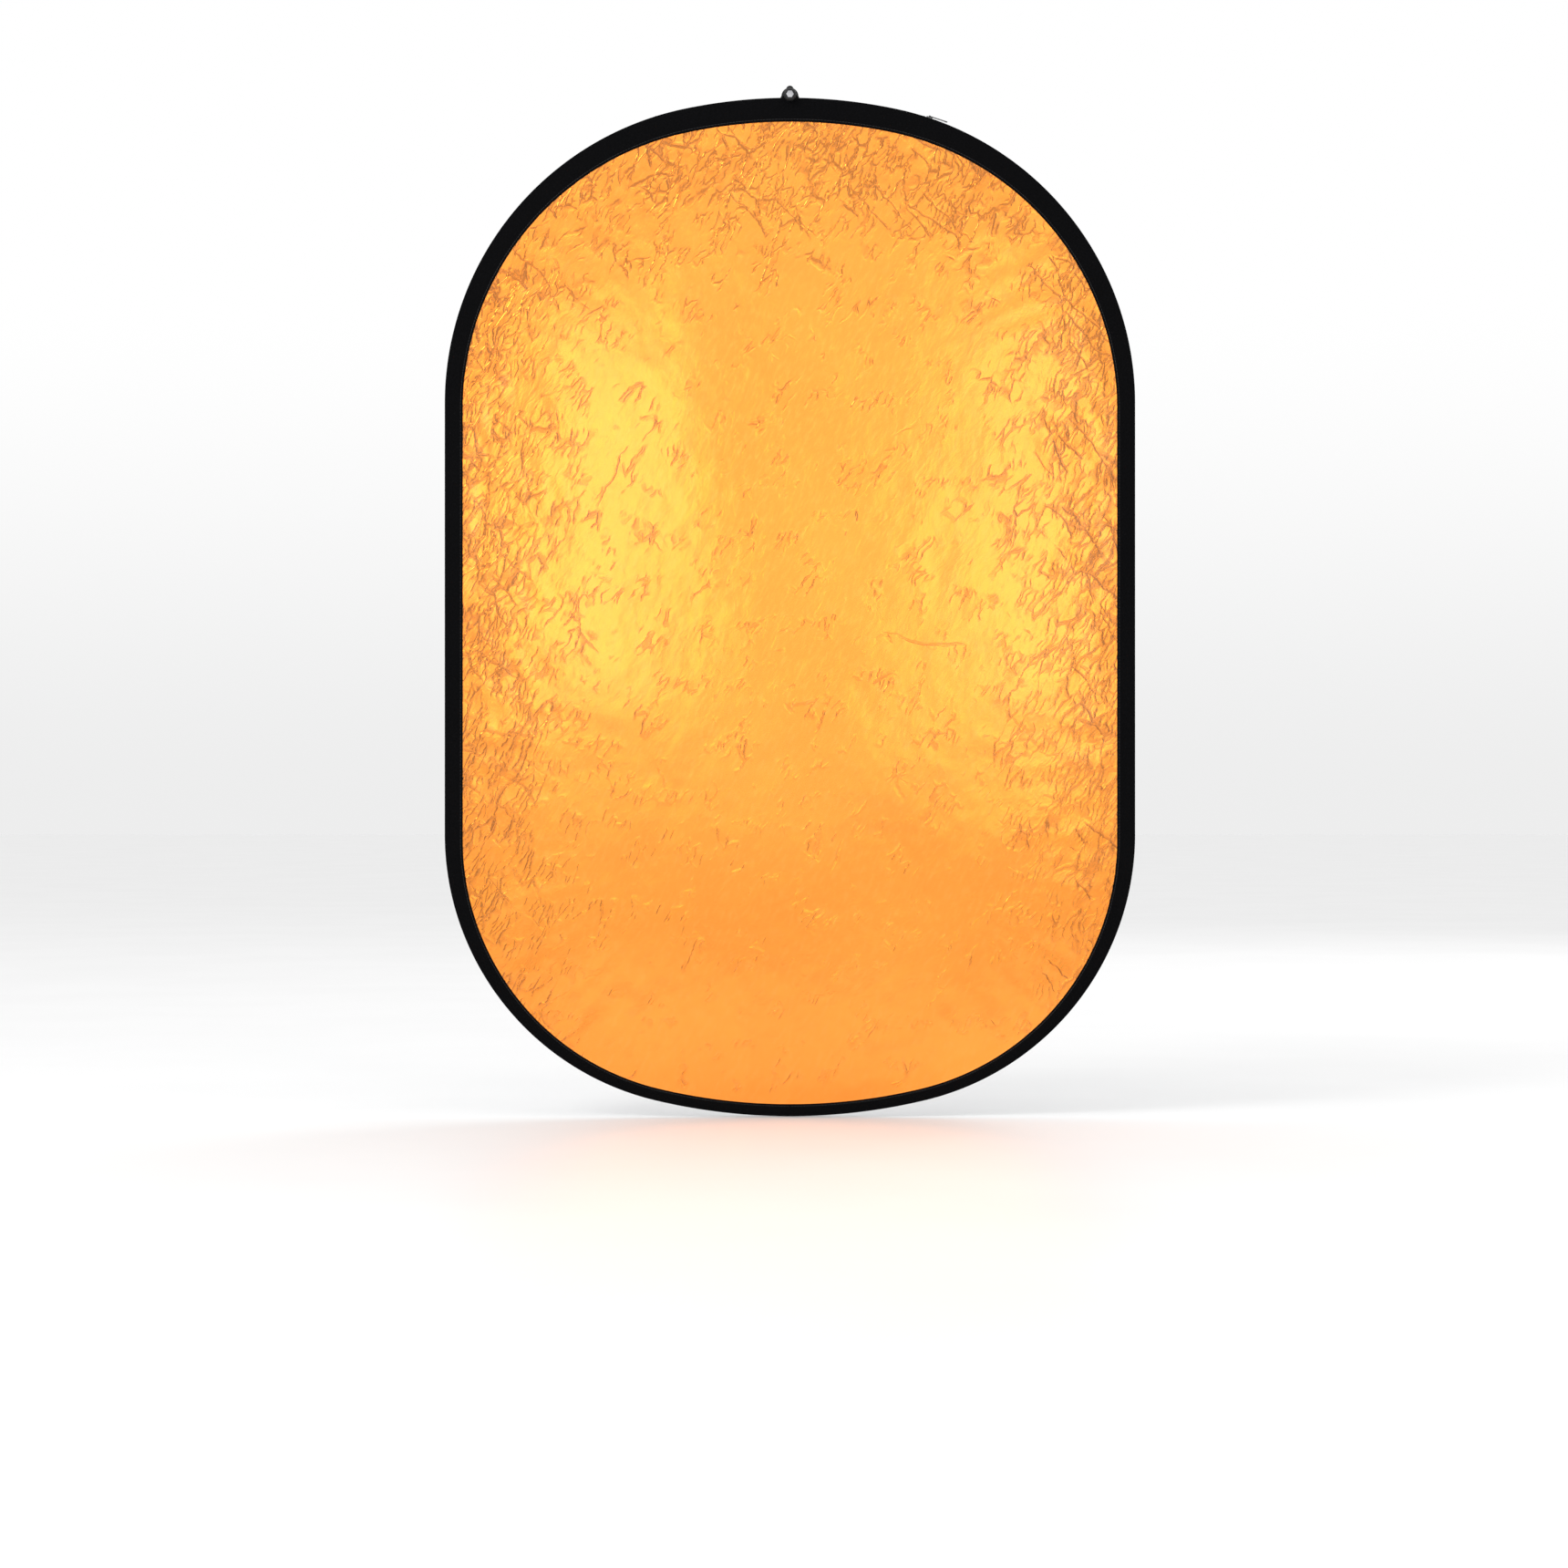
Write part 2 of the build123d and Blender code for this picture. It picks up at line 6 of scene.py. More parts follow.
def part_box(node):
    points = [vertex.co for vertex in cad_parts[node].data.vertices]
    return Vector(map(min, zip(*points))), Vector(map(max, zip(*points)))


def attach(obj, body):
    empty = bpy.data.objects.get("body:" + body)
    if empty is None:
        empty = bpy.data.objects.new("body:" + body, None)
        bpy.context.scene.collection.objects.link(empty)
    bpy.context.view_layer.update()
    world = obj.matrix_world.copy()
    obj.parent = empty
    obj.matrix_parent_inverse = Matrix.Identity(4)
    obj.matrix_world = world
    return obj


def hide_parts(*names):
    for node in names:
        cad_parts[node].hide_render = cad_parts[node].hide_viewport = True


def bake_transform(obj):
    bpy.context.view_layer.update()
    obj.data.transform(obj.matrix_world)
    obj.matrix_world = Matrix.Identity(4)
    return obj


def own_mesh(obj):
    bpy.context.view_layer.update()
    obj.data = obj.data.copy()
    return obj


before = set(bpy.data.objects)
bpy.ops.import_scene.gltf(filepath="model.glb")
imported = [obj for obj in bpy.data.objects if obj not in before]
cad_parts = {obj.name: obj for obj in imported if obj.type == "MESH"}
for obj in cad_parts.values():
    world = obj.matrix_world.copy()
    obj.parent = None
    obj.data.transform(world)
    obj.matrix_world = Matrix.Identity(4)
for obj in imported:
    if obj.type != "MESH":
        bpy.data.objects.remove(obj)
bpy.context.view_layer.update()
mm = 0.001
quarter = math.pi / 2

# where the disc is, read from the frame
backLow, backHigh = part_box("back_binding")
frontLow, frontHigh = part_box("front_binding")
halfWide = backHigh.x
rimTop = backHigh.z
midZ = (backHigh.z + backLow.z) / 2
halfHigh = (backHigh.z - backLow.z) / 2
midY = (frontLow.y + backHigh.y) / 2
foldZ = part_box("gold_yoke")[0].z
front = -1
back = 1

outline = {
    "topEnd": 750 * mm,         # radii of the four kinds of arc
    "topCorner": 440 * mm,
    "bottomCorner": 400 * mm,
    "bottomEnd": 850 * mm,
    "step": 4.5 * mm,           # length of one step of a swept edge
}
topEndZ = midZ + halfHigh - outline["topEnd"]
topX = halfWide - outline["topCorner"]
topTurn = math.asin(topX / (outline["topEnd"] - outline["topCorner"]))
topZ = topEndZ + (outline["topEnd"] - outline["topCorner"]) * math.cos(topTurn)
lowEndZ = midZ - halfHigh + outline["bottomEnd"]
lowX = halfWide - outline["bottomCorner"]
lowTurn = math.asin(lowX / (outline["bottomEnd"] - outline["bottomCorner"]))
lowZ = lowEndZ - (outline["bottomEnd"] - outline["bottomCorner"]) * math.cos(lowTurn)
sideLength = topZ - lowZ

# the right half of the outline as arcs: centre x and z, radius, first turn from straight up, length
arcs = [
    (0, topEndZ, outline["topEnd"], 0, topTurn * outline["topEnd"]),
    (topX, topZ, outline["topCorner"], topTurn, (quarter - topTurn) * outline["topCorner"]),
    (lowX, lowZ, outline["bottomCorner"], quarter, (quarter - lowTurn) * outline["bottomCorner"]),
    (0, lowEndZ, outline["bottomEnd"], math.pi - lowTurn, lowTurn * outline["bottomEnd"]),
]
topLength = arcs[0][4] + arcs[1][4]
halfLength = topLength + sideLength + arcs[2][4] + arcs[3][4]


def rimPoint(along, inset):  # a point on the outline moved in by inset, and its turn from straight up
    side = -1 if along < 0 else 1
    left = abs(along)
    if topLength <= left <= topLength + sideLength:
        return Vector((side * (halfWide - inset), 0, topZ - (left - topLength))), side * quarter
    if left > topLength:
        left -= sideLength
    for x, z, radius, turn, length in arcs:
        if left <= length + 1e-9:
            break
        left -= length
    turn += left / radius
    reach = radius - inset
    return Vector((side * (x + reach * math.sin(turn)), 0, z + reach * math.cos(turn))), side * turn


def rimPlace(x, z):  # the other way round: along, inset and the way out, from a point
    side = -1 if x < 0 else 1
    x = abs(x)
    if lowZ <= z <= topZ:
        return side * (topLength + topZ - z), halfWide - x, Vector((side, 0, 0))
    upper = z > topZ
    cornerX, cornerZ = (topX, topZ) if upper else (lowX, lowZ)
    turn = math.atan2(x - cornerX, z - cornerZ)
    onEnd = turn < topTurn if upper else (turn > math.pi - lowTurn or turn < 0)
    arc = (0 if onEnd else 1) if upper else (3 if onEnd else 2)
    centreX, centreZ, radius, first, length = arcs[arc]
    turn = math.atan2(x - centreX, z - centreZ)
    before = sum(a[4] for a in arcs[:arc]) + (0 if upper else sideLength)
    inset = radius - math.hypot(x - centreX, z - centreZ)
    return side * (before + (turn - first) * radius), inset, Vector((side * math.sin(turn), 0, math.cos(turn)))


def smooth(value, low, high):
    share = min(max((value - low) / (high - low), 0), 1)
    return share * share * (3 - 2 * share)


shot = {
    "lens": 85,
    "distance": 5.42,
    "drop": 0.259,              # the camera is level and looks past the disc's middle
    "left": 0.0087,
}
studio = {
    "floorSize": 60,
    "floorGap": 1.0 * mm,
    "backdrop": 1.0,            # what the camera sees behind the disc
    "backdropFootShade": 0.85,       # and low down, where it meets the floor: darker there, a painted shade
    "horizon": 0.42,            # the room that the foil mirrors
    "ceiling": 1.2,
    "keyPower": 95,
    "rearPower": 60,
    "frontPower": 25,
    "bandPower": 2.6,
}

bpy.ops.object.select_all(action="DESELECT")
cameraPlace = (-shot["left"], midY - shot["distance"], midZ - shot["drop"])
bpy.ops.object.camera_add(location=cameraPlace, rotation=(quarter, 0, 0))
bpy.context.object.data.lens = shot["lens"]
bpy.context.scene.camera = bpy.context.object
bpy.context.scene.view_settings.view_transform = "Standard"


def softLight(name, place, aim, size, power):
    bpy.ops.object.light_add(type="AREA", location=place)
    light = bpy.context.object
    light.name = name
    light.rotation_euler = (Vector(aim) - Vector(place)).to_track_quat("-Z", "Y").to_euler()
    light.data.shape = "RECTANGLE"
    light.data.size, light.data.size_y = size
    light.data.energy = power
    light.visible_camera = False


middle = (0, midY, midZ)
softLight("keyLight", (-3.4, -3.4, 2.4), middle, (2.2, 2.2), studio["keyPower"])
softLight("rearLight", (3.2, 4.2, 2.2), middle, (2.4, 2.4), studio["rearPower"])
# these three face the disc squarely: name, x, z, distance, size and power
for name, x, z, away, size, power in (
        ("frontBox", 0, 0.15, 6.4, (3.3, 2.6), studio["frontPower"]),
        ("leftBand", -0.53, -0.16, 5.3, (0.30, 1.15), studio["bandPower"]),
        ("rightBand", 0.68, -0.24, 5.3, (0.34, 1.25), studio["bandPower"])):
    softLight(name, (x, midY - away, z), (x, midY, z), size, power)

print("camera and lights are placed")


class Value:  # one output of a node, so that shader maths reads as plain expressions
    def __init__(self, finish, socket):
        self.finish = finish
        self.socket = socket

    def maths(self, operation, *others):
        return self.finish.node("Math", {"operation": operation}, dict(enumerate((self, *others))))

    def __add__(self, other):
        return self.maths("ADD", other)

    def __sub__(self, other):
        return self.maths("SUBTRACT", other)

    def __rsub__(self, other):
        return self.finish.node("Math", {"operation": "SUBTRACT"}, {0: other, 1: self})

    def __mul__(self, other):
        return self.maths("MULTIPLY", other)

    def __abs__(self):
        return self.maths("ABSOLUTE")

    __radd__ = __add__
    __rmul__ = __mul__

    def sine(self):
        return self.maths("SINE")

    def most(self, other):
        return self.maths("MAXIMUM", other)

    def least(self, other):
        return self.maths("MINIMUM", other)

    def over(self, low, high):  # 0 up to low, 1 from high on, smooth between
        return self.finish.node("MapRange", {"interpolation_type": "SMOOTHSTEP"}, {0: self, 1: low, 2: high})


class Finish:  # one material, or the world, and what is wired into its main shader
    def __init__(self, name, owner=None, **sockets):
        self.material = owner or bpy.data.materials.new(name)
        self.material.use_nodes = True
        self.tree = self.material.node_tree
        self.shader = self.tree.nodes["Background" if owner else "Principled BSDF"]
        self.feed(**sockets)

    def plug(self, value, socket):
        if isinstance(value, Value):
            self.tree.links.new(value.socket, socket)
        elif isinstance(value, (tuple, list)) and socket.type == "RGBA" and len(value) == 3:
            socket.default_value = (*value, 1)
        else:
            socket.default_value = value

    def node(self, kind, settings=None, sockets=None, output=0):
        made = self.tree.nodes.new("ShaderNode" + kind)
        for name, setting in (settings or {}).items():
            setattr(made, name, setting)
        for name, value in (sockets or {}).items():
            self.plug(value, made.inputs[name])
        return Value(self, made.outputs[output])

    def feed(self, **sockets):
        for name, value in sockets.items():
            self.plug(value, self.shader.inputs[name.replace("_", " ")])

    def spots(self, kind="Object"):
        return self.node("TexCoord", output=kind)

    def turned(self, spots, angle=0, size=(1, 1, 1), shift=(0, 0, 0)):  # size draws the pattern out
        sockets = {"Vector": spots, "Location": shift, "Rotation": (0, 0, math.radians(angle)), "Scale": size}
        return self.node("Mapping", {"vector_type": "TEXTURE"}, sockets)

    def axes(self, spots):
        parts = self.tree.nodes.new("ShaderNodeSeparateXYZ")
        self.plug(spots, parts.inputs[0])
        return [Value(self, socket) for socket in parts.outputs]

    def clouds(self, spots, scale, detail=3, roughness=0.55, warp=0):
        sockets = {"Vector": spots, "Scale": scale, "Detail": detail, "Roughness": roughness,
                   "Distortion": warp}
        return self.node("TexNoise", sockets=sockets)

    def cells(self, spots, scale, feature="F1"):
        return self.node("TexVoronoi", {"feature": feature}, {"Vector": spots, "Scale": scale})

    def blend(self, share, first, second):
        made = self.tree.nodes.new("ShaderNodeMix")
        made.data_type = "RGBA"
        for socket, value in ((made.inputs[0], share), (made.inputs[6], first), (made.inputs[7], second)):
            self.plug(value, socket)
        return Value(self, made.outputs[2])

    def relief(self, height, depth, strength=1.0, under=None):
        sockets = {"Height": height, "Distance": depth, "Strength": strength}
        if under:
            sockets["Normal"] = under
        return self.node("Bump", sockets=sockets)


room = bpy.context.scene.world or bpy.data.worlds.new("studioRoom")
bpy.context.scene.world = room
roomLight = Finish("studioRoom", room, Color=(1, 1, 1))
height = roomLight.axes(roomLight.spots("Generated"))[2]   # of the way looked, from -1 down to 1 up
seen = roomLight.node("LightPath", output="Is Camera Ray")
lit = height.over(0.05, 0.85) * (studio["ceiling"] - studio["horizon"]) + studio["horizon"]
foot = studio["backdropFootShade"]
# painted shade: the backdrop that the camera sees darkens towards the floor
shown = height.over(-0.01, 0.13) * (studio["backdrop"] - foot) + foot
roomLight.feed(Strength=lit * (1 - seen) + seen * shown)


def foil(name, tones, shift):
    finish = Finish(name, Metallic=1.0, Coat_Weight=0.7, Coat_Roughness=0.14)
    across, up, unused = finish.axes(finish.spots("UV"))
    side = abs(across).over(0.25, 0.47)                    # more creased towards the edges
    top = up.over(midZ + 0.42, rimTop - 0.05)
    foot = (0 - up).over(-(midZ - 0.1), -(midZ - halfHigh))
    busy = side.most(top) * 0.8 + 0.2 - foot * 0.14

    spots = finish.turned(finish.spots("UV"), shift=shift)
    bent = spots
    for scale, detail, reach in ((16, 3, 0.034), (90, 2, 0.006)):  # the creases wander, widely and then finely
        stray = finish.node("TexNoise", sockets={"Vector": spots, "Scale": scale, "Detail": detail}, output=1)
        sockets = {0: stray, 1: (reach, reach, 0), 2: bent}
        bent = finish.node("VectorMath", {"operation": "MULTIPLY_ADD"}, sockets)

    def creases(angle, stretch, scale, width, patch, rare):  # slanting lines, kept only in some patches
        place = finish.turned(bent, angle, (1, stretch, 1))
        line = 1 - finish.cells(place, scale, "DISTANCE_TO_EDGE").over(0.0, width * scale)
        patches = finish.clouds(finish.turned(spots, shift=(scale, 0, 0)), patch, 2.0)
        return line * (patches + busy * 0.20).over(rare, rare + 0.13)

    fine = creases(-26, 3.6, 105, 1.3 * mm, 24, 0.58)
    short = creases(-30, 3.4, 58, 1.6 * mm, 17, 0.60)
    bold = creases(38, 2.8, 30, 1.9 * mm, 11, 0.67)
    folds = creases(-40, 1.6, 6.5, 2.2 * mm, 5, 0.66)
    creaseLinesAndShade = (fine * 0.6 + short * 0.9 + bold + folds * 0.8).least(1.0)
    brush = finish.clouds(finish.turned(spots, -25, (1, 3.3, 1)), 170, 3.0, 0.6)
    dimples = finish.clouds(finish.turned(bent, -28, (1, 2.2, 1)), 48, 3.0, 0.55)
    pillows = finish.clouds(spots, 8, 2.0, 0.5, 0.3)

    drift = finish.clouds(spots, 3.2, 2.0, 0.5)
    tone = finish.blend(drift.over(0.3, 0.7), tones["deep"], tones["main"])
    tone = finish.blend(brush.over(0.45, 0.75) * 0.25, tone, tones["light"])
    # painted shade: the crease lines darken the foil's colour towards brown, standing for the dark room
    # mirrored in their steep sides; the crease relief itself is real
    finish.feed(Base_Color=finish.blend(creaseLinesAndShade * (busy * 0.25 + 0.12), tone, tones["paintedCreaseShade"]))
    finish.feed(Roughness=brush * 0.08 + creaseLinesAndShade * 0.10 + tones["rough"])
    relief = finish.relief(pillows, 2.0 * mm, 0.8)
    relief = finish.relief(dimples * (busy * 0.7 + 0.3) + brush * 0.05, 0.75 * mm, 1.0, relief)
    relief = finish.relief(fine * 0.40 + short * 0.7 - bold * 0.9 - folds * 0.8, 0.55 * mm, 1.0, relief)
    finish.feed(Normal=relief)
    return finish.material


def cloth(name, tones, pitch=0.9 * mm, rough=0.85, depth=0.12 * mm, **sockets):
    finish = Finish(name, **sockets)
    spots = finish.spots("UV")
    across, up, unused = finish.axes(spots)
    beat = 2 * math.pi / pitch
    warp = (across * beat).sine()
    weft = (up * beat).sine()
    weave = (warp * weft) * 0.5 + 0.5
    heather = finish.clouds(finish.turned(spots, 0, (1, 4, 1)), 900, 2.0, 0.6)
    slubs = finish.clouds(finish.turned(spots, 0, (5, 1, 1)), 420, 2.0, 0.6)
    wear = finish.clouds(spots, 11, 4.0, 0.6)
    shade = heather.over(0.35, 0.65) * 0.5 + slubs.over(0.4, 0.7) * 0.3 + wear.over(0.3, 0.7) * 0.2
    finish.feed(Base_Color=finish.blend(shade, tones[0], tones[1]))
    finish.feed(Roughness=wear * 0.12 + rough - 0.06)
    folds = finish.relief(finish.clouds(spots, 14, 2.0, 0.5, 0.5), 1.6 * mm, 0.5)
    finish.feed(Normal=finish.relief(weave * 0.7 + heather * 0.5, depth, 0.8, folds))
    return finish.material


def twill(name, tones, pitch, rough, depth, **sockets):  # the rim's tape: slanting ribs, seen along the edge
    finish = Finish(name, **sockets)
    spots = finish.spots("UV")
    along, inwards, unused = finish.axes(spots)
    beat = 2 * math.pi / pitch
    rib = (along * beat + inwards * beat).sine() * 0.5 + 0.5
    cross = (along * beat - inwards * (2 * beat)).sine() * 0.5 + 0.5
    heather = finish.clouds(finish.turned(spots, 0, (3, 1, 1)), 850, 2.5, 0.65)
    wear = finish.clouds(spots, 16, 4.0, 0.6)
    lint = finish.clouds(spots, 420, 1.0).over(0.70, 0.78)
    shade = heather.over(0.38, 0.68) * 0.6 + rib * 0.25 + wear.over(0.35, 0.7) * 0.15
    colour = finish.blend(shade, tones[0], tones[1])
    finish.feed(Base_Color=finish.blend(lint * 0.25, colour, tones[2]))
    finish.feed(Roughness=wear * 0.14 + rough - 0.07)
    puckers = finish.relief(finish.clouds(finish.turned(spots, 0, (1, 3.3, 1)), 90, 2.0, 0.5), 0.5 * mm, 0.4)
    finish.feed(Normal=finish.relief(rib * 0.6 + cross * 0.25 + heather * 0.5, depth, 0.9, puckers))
    return finish.material


def moulded(name, tones, rough, grain=0.05 * mm, scale=1500, **sockets):
    finish = Finish(name, **sockets)
    spots = finish.spots()
    pits = finish.cells(spots, scale)
    haze = finish.clouds(spots, 70, 4.0, 0.6)
    scuffs = finish.clouds(finish.turned(spots, 34, (1, 0.11, 0.33)), 160, 3.0, 0.7).over(0.62, 0.72)
    colour = finish.blend(haze.over(0.35, 0.7), tones[0], tones[1])
    finish.feed(Base_Color=finish.blend(scuffs * 0.3, colour, tones[2]))
    finish.feed(Roughness=haze * 0.16 + scuffs * 0.1 + rough - 0.08)
    finish.feed(Normal=finish.relief(pits + haze * 0.4, grain, 0.6))
    return finish.material


def metal(name, tones, rough, turnedAbout="z", depth=0.012 * mm, **sockets):
    finish = Finish(name, Metallic=1.0, **sockets)
    spots = finish.spots()
    drawn = {"x": (1, 50, 50), "y": (50, 1, 50), "z": (50, 50, 1)}[turnedAbout]
    lathe = finish.clouds(finish.turned(spots, 0, drawn), 5200, 2.0, 0.6)
    haze = finish.clouds(spots, 60, 5.0, 0.65)
    specks = finish.clouds(spots, 900, 2.0).over(0.68, 0.74)
    colour = finish.blend(haze.over(0.35, 0.7), tones[0], tones[1])
    finish.feed(Base_Color=finish.blend(specks * 0.35, colour, tones[2]))
    finish.feed(Roughness=haze * 0.12 + lathe * 0.05 + specks * 0.15 + rough - 0.06)
    finish.feed(Normal=finish.relief(lathe + specks * 0.6, depth, 0.5))
    return finish.material


finishes = {
    "gold": foil("goldFoil", {
        "main": (0.98, 0.315, 0.027), "deep": (0.95, 0.285, 0.022), "light": (1.0, 0.40, 0.075),
        # the crease tone is painted shade, the dark room mirrored in the gold's creases
        "paintedCreaseShade": (0.20, 0.055, 0.008), "rough": 0.13}, (0, 0, 0)),
    "silver": foil("silverFoil", {
        "main": (0.68, 0.69, 0.71), "deep": (0.59, 0.60, 0.63), "light": (0.80, 0.81, 0.83),
        # the crease tone is painted shade, the dark room mirrored in the silver's creases
        "paintedCreaseShade": (0.26, 0.27, 0.29), "rough": 0.14}, (3.1, 1.7, 0)),
    "whiteCloth": cloth("whiteCloth", ((0.80, 0.80, 0.79), (0.90, 0.90, 0.89)), Sheen_Weight=0.15),
    "blackCloth": cloth("blackCloth", ((0.006, 0.006, 0.007), (0.016, 0.016, 0.018)), rough=0.8,
                        Sheen_Weight=0.05),
    "diffuser": cloth("diffuserCloth", ((0.83, 0.84, 0.85), (0.93, 0.94, 0.95)), 0.6 * mm, 0.7,
                      Transmission_Weight=0.35, IOR=1.2),
    "binding": twill("bindingTwill", ((0.001, 0.001, 0.0012), (0.0042, 0.0042, 0.005), (0.03, 0.03, 0.033)),
                     1.25 * mm, 0.9, 0.16 * mm, Specular_IOR_Level=0.06),
    "coreHem": twill("coreHemTwill", ((0.008, 0.008, 0.009), (0.024, 0.024, 0.027), (0.07, 0.07, 0.075)),
                     1.0 * mm, 0.8, 0.12 * mm, Sheen_Weight=0.05),
    "zipTape": twill("zipTapeWeave", ((0.006, 0.006, 0.007), (0.014, 0.014, 0.015), (0.05, 0.05, 0.05)),
                     0.8 * mm, 0.85, 0.08 * mm),
    "zipCoil": moulded("zipCoilNylon", ((0.008, 0.008, 0.009), (0.016, 0.016, 0.017), (0.06, 0.06, 0.06)),
                       0.38),
    "thread": moulded("sewingThread", ((0.010, 0.010, 0.011), (0.03, 0.03, 0.032), (0.08, 0.08, 0.08)),
                      0.6, 0.06 * mm, 2600),
    "chrome": metal("chromePlate", ((0.66, 0.67, 0.69), (0.58, 0.59, 0.61), (0.30, 0.30, 0.31)), 0.12),
    "steel": metal("brightSteel", ((0.58, 0.58, 0.60), (0.46, 0.46, 0.48), (0.25, 0.25, 0.25)), 0.28, "y"),
    "screwSteel": metal("screwSteel", ((0.55, 0.55, 0.57), (0.43, 0.43, 0.45), (0.25, 0.25, 0.25)), 0.3, "x"),
    "springSteel": metal("springSteel", ((0.30, 0.31, 0.34), (0.20, 0.20, 0.22), (0.12, 0.12, 0.12)),
                         0.36, "y"),
    "zipMetal": moulded("zipBlackLacquer", ((0.008, 0.008, 0.009), (0.014, 0.014, 0.015), (0.16, 0.15, 0.14)),
                        0.28, 0.02 * mm, Coat_Weight=0.4, Coat_Roughness=0.2),
    "blackPlastic": moulded("gripPlastic", ((0.007, 0.007, 0.008), (0.013, 0.013, 0.014), (0.05, 0.05, 0.05)),
                            0.46, Specular_IOR_Level=0.36),
    "glossPlastic": moulded("knobPlastic", ((0.007, 0.007, 0.008), (0.012, 0.012, 0.013), (0.05, 0.05, 0.05)),
                            0.24, 0.015 * mm, Coat_Weight=0.3, Coat_Roughness=0.15),
    "nylon": moulded("padNylon", ((0.72, 0.71, 0.67), (0.80, 0.79, 0.75), (0.5, 0.5, 0.47)), 0.5),
    "washer": moulded("washerNylon", ((0.05, 0.05, 0.05), (0.08, 0.08, 0.08), (0.15, 0.15, 0.15)), 0.5),
}


def paint(finish, *names):
    for name in names:
        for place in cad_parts[name].material_slots:
            place.material = finishes[finish]


paint("chrome", "stand_socket", "knob_collar", "swivel_stud")
paint("blackPlastic", "elbow_body", "elbow_cap", "grip_rod", "grip_sleeve", "tip_cap")
paint("glossPlastic", "lock_knob")
paint("steel", "grip_shaft", "tip_nut", "splice_rivets")
paint("screwSteel", "lock_screw")
paint("nylon", "pressure_pad")
paint("washer", "friction_washer")
paint("springSteel", "grip_spring", "spring_loop", "splice_plates")
paint("zipMetal", "zip_slider", "zip_pull", "top_stops", "bottom_stop")

print("materials are mixed")


bpy.ops.object.select_all(action="DESELECT")
floorZ = backLow.z - studio["floorGap"]
bpy.ops.mesh.primitive_plane_add(size=studio["floorSize"], location=(0, 0, floorZ))
floor = bpy.context.object
floor.name = "studioFloor"
floorFinish = Finish("paleFloor", Roughness=0.36, Specular_IOR_Level=0.25)
floorHaze = floorFinish.clouds(floorFinish.spots(), 2.5, 3.0)
floorColour = floorFinish.blend(floorHaze.over(0.3, 0.7), (0.93, 0.93, 0.93), (0.95, 0.95, 0.95))
floorFinish.feed(Base_Color=floorColour)
floor.data.materials.append(floorFinish.material)


def active(piece):
    bpy.ops.object.select_all(action="DESELECT")
    piece.select_set(True)
    bpy.context.view_layer.objects.active = piece


def applyAll(piece):
    active(piece)
    for modifier in list(piece.modifiers):
        bpy.ops.object.modifier_apply(modifier=modifier.name)


def spinArc(centre, turn, radius):
    steps = max(round(turn * radius / outline["step"]), 4)
    bpy.ops.mesh.spin(steps=steps, angle=turn, center=(centre[0], midY, centre[1]), axis=(0, -1, 0))


def sweepRim(name, profile, side=front):  # profile: (inset, distance from the middle plane) in millimetres
    bpy.ops.object.select_all(action="DESELECT")
    bpy.ops.mesh.primitive_circle_add(vertices=len(profile), radius=0.01)
    piece = bpy.context.object
    piece.name = name
    for vertex, (inset, out) in zip(piece.data.vertices, profile):
        vertex.co = (0, midY + side * out * mm, rimTop - inset * mm)
    bpy.ops.object.mode_set(mode="EDIT")
    bpy.ops.mesh.select_all(action="SELECT")
    spinArc((0, topEndZ), topTurn, outline["topEnd"])
    spinArc((topX, topZ), quarter - topTurn, outline["topCorner"])
    sideSteps = round(sideLength / outline["step"] / 2)
    for step in range(sideSteps):
        bpy.ops.mesh.extrude_region_move(TRANSFORM_OT_translate={"value": (0, 0, -sideLength / sideSteps)})
    spinArc((lowX, lowZ), quarter - lowTurn, outline["bottomCorner"])
    spinArc((0, lowEndZ), lowTurn, outline["bottomEnd"])
    bpy.ops.object.mode_set(mode="OBJECT")
    mirror = piece.modifiers.new("otherHalf", "MIRROR")
    mirror.merge_threshold = 0.2 * mm
    applyAll(piece)
    bpy.ops.object.mode_set(mode="EDIT")
    bpy.ops.mesh.select_all(action="SELECT")
    bpy.ops.mesh.remove_doubles(threshold=0.02 * mm)
    bpy.ops.mesh.normals_make_consistent(inside=False)
    bpy.ops.object.mode_set(mode="OBJECT")
    return piece


def rimUv(piece):  # u runs along the rim and v across it, in metres
    layer = piece.data.uv_layers[0] if piece.data.uv_layers else piece.data.uv_layers.new(name="alongRim")
    corners = piece.data.loops
    for face in piece.data.polygons:
        side = -1 if face.center.x < 0 else 1
        for index in face.loop_indices:
            spot = piece.data.vertices[corners[index].vertex_index].co
            along, inset, out = rimPlace(side * abs(spot.x), spot.z)
            layer.data[index].uv = (along, inset + abs(spot.y - midY))


def flatUv(piece):  # u and v are the place on the flat cloth, in metres
    layer = piece.data.uv_layers[0] if piece.data.uv_layers else piece.data.uv_layers.new(name="flat")
    for corner, entry in zip(piece.data.loops, layer.data):
        spot = piece.data.vertices[corner.vertex_index].co
        entry.uv = (spot.x, spot.z)


def dress(piece, finish):
    piece.data.materials.clear()
    piece.data.materials.append(finishes[finish])
    active(piece)
    bpy.ops.object.shade_smooth_by_angle(angle=math.radians(50))


foldCut = {
    "above": 4 * mm,            # the bend begins this much above the fold line
    "below": 20 * mm,           # and ends this much below it
    "rows": 16,
}


def cutRows(piece):  # the same rows of edges across the fold in every layer, so that the layers bend alike
    step = (foldCut["above"] + foldCut["below"]) / foldCut["rows"]
    active(piece)
    bpy.ops.object.mode_set(mode="EDIT")
    for row in range(foldCut["rows"] + 1):
        rowZ = foldZ + foldCut["above"] - row * step
        bpy.ops.mesh.select_all(action="SELECT")
        bpy.ops.mesh.bisect(plane_co=(0, 0, rowZ), plane_no=(0, 0, 1))
    bpy.ops.object.mode_set(mode="OBJECT")


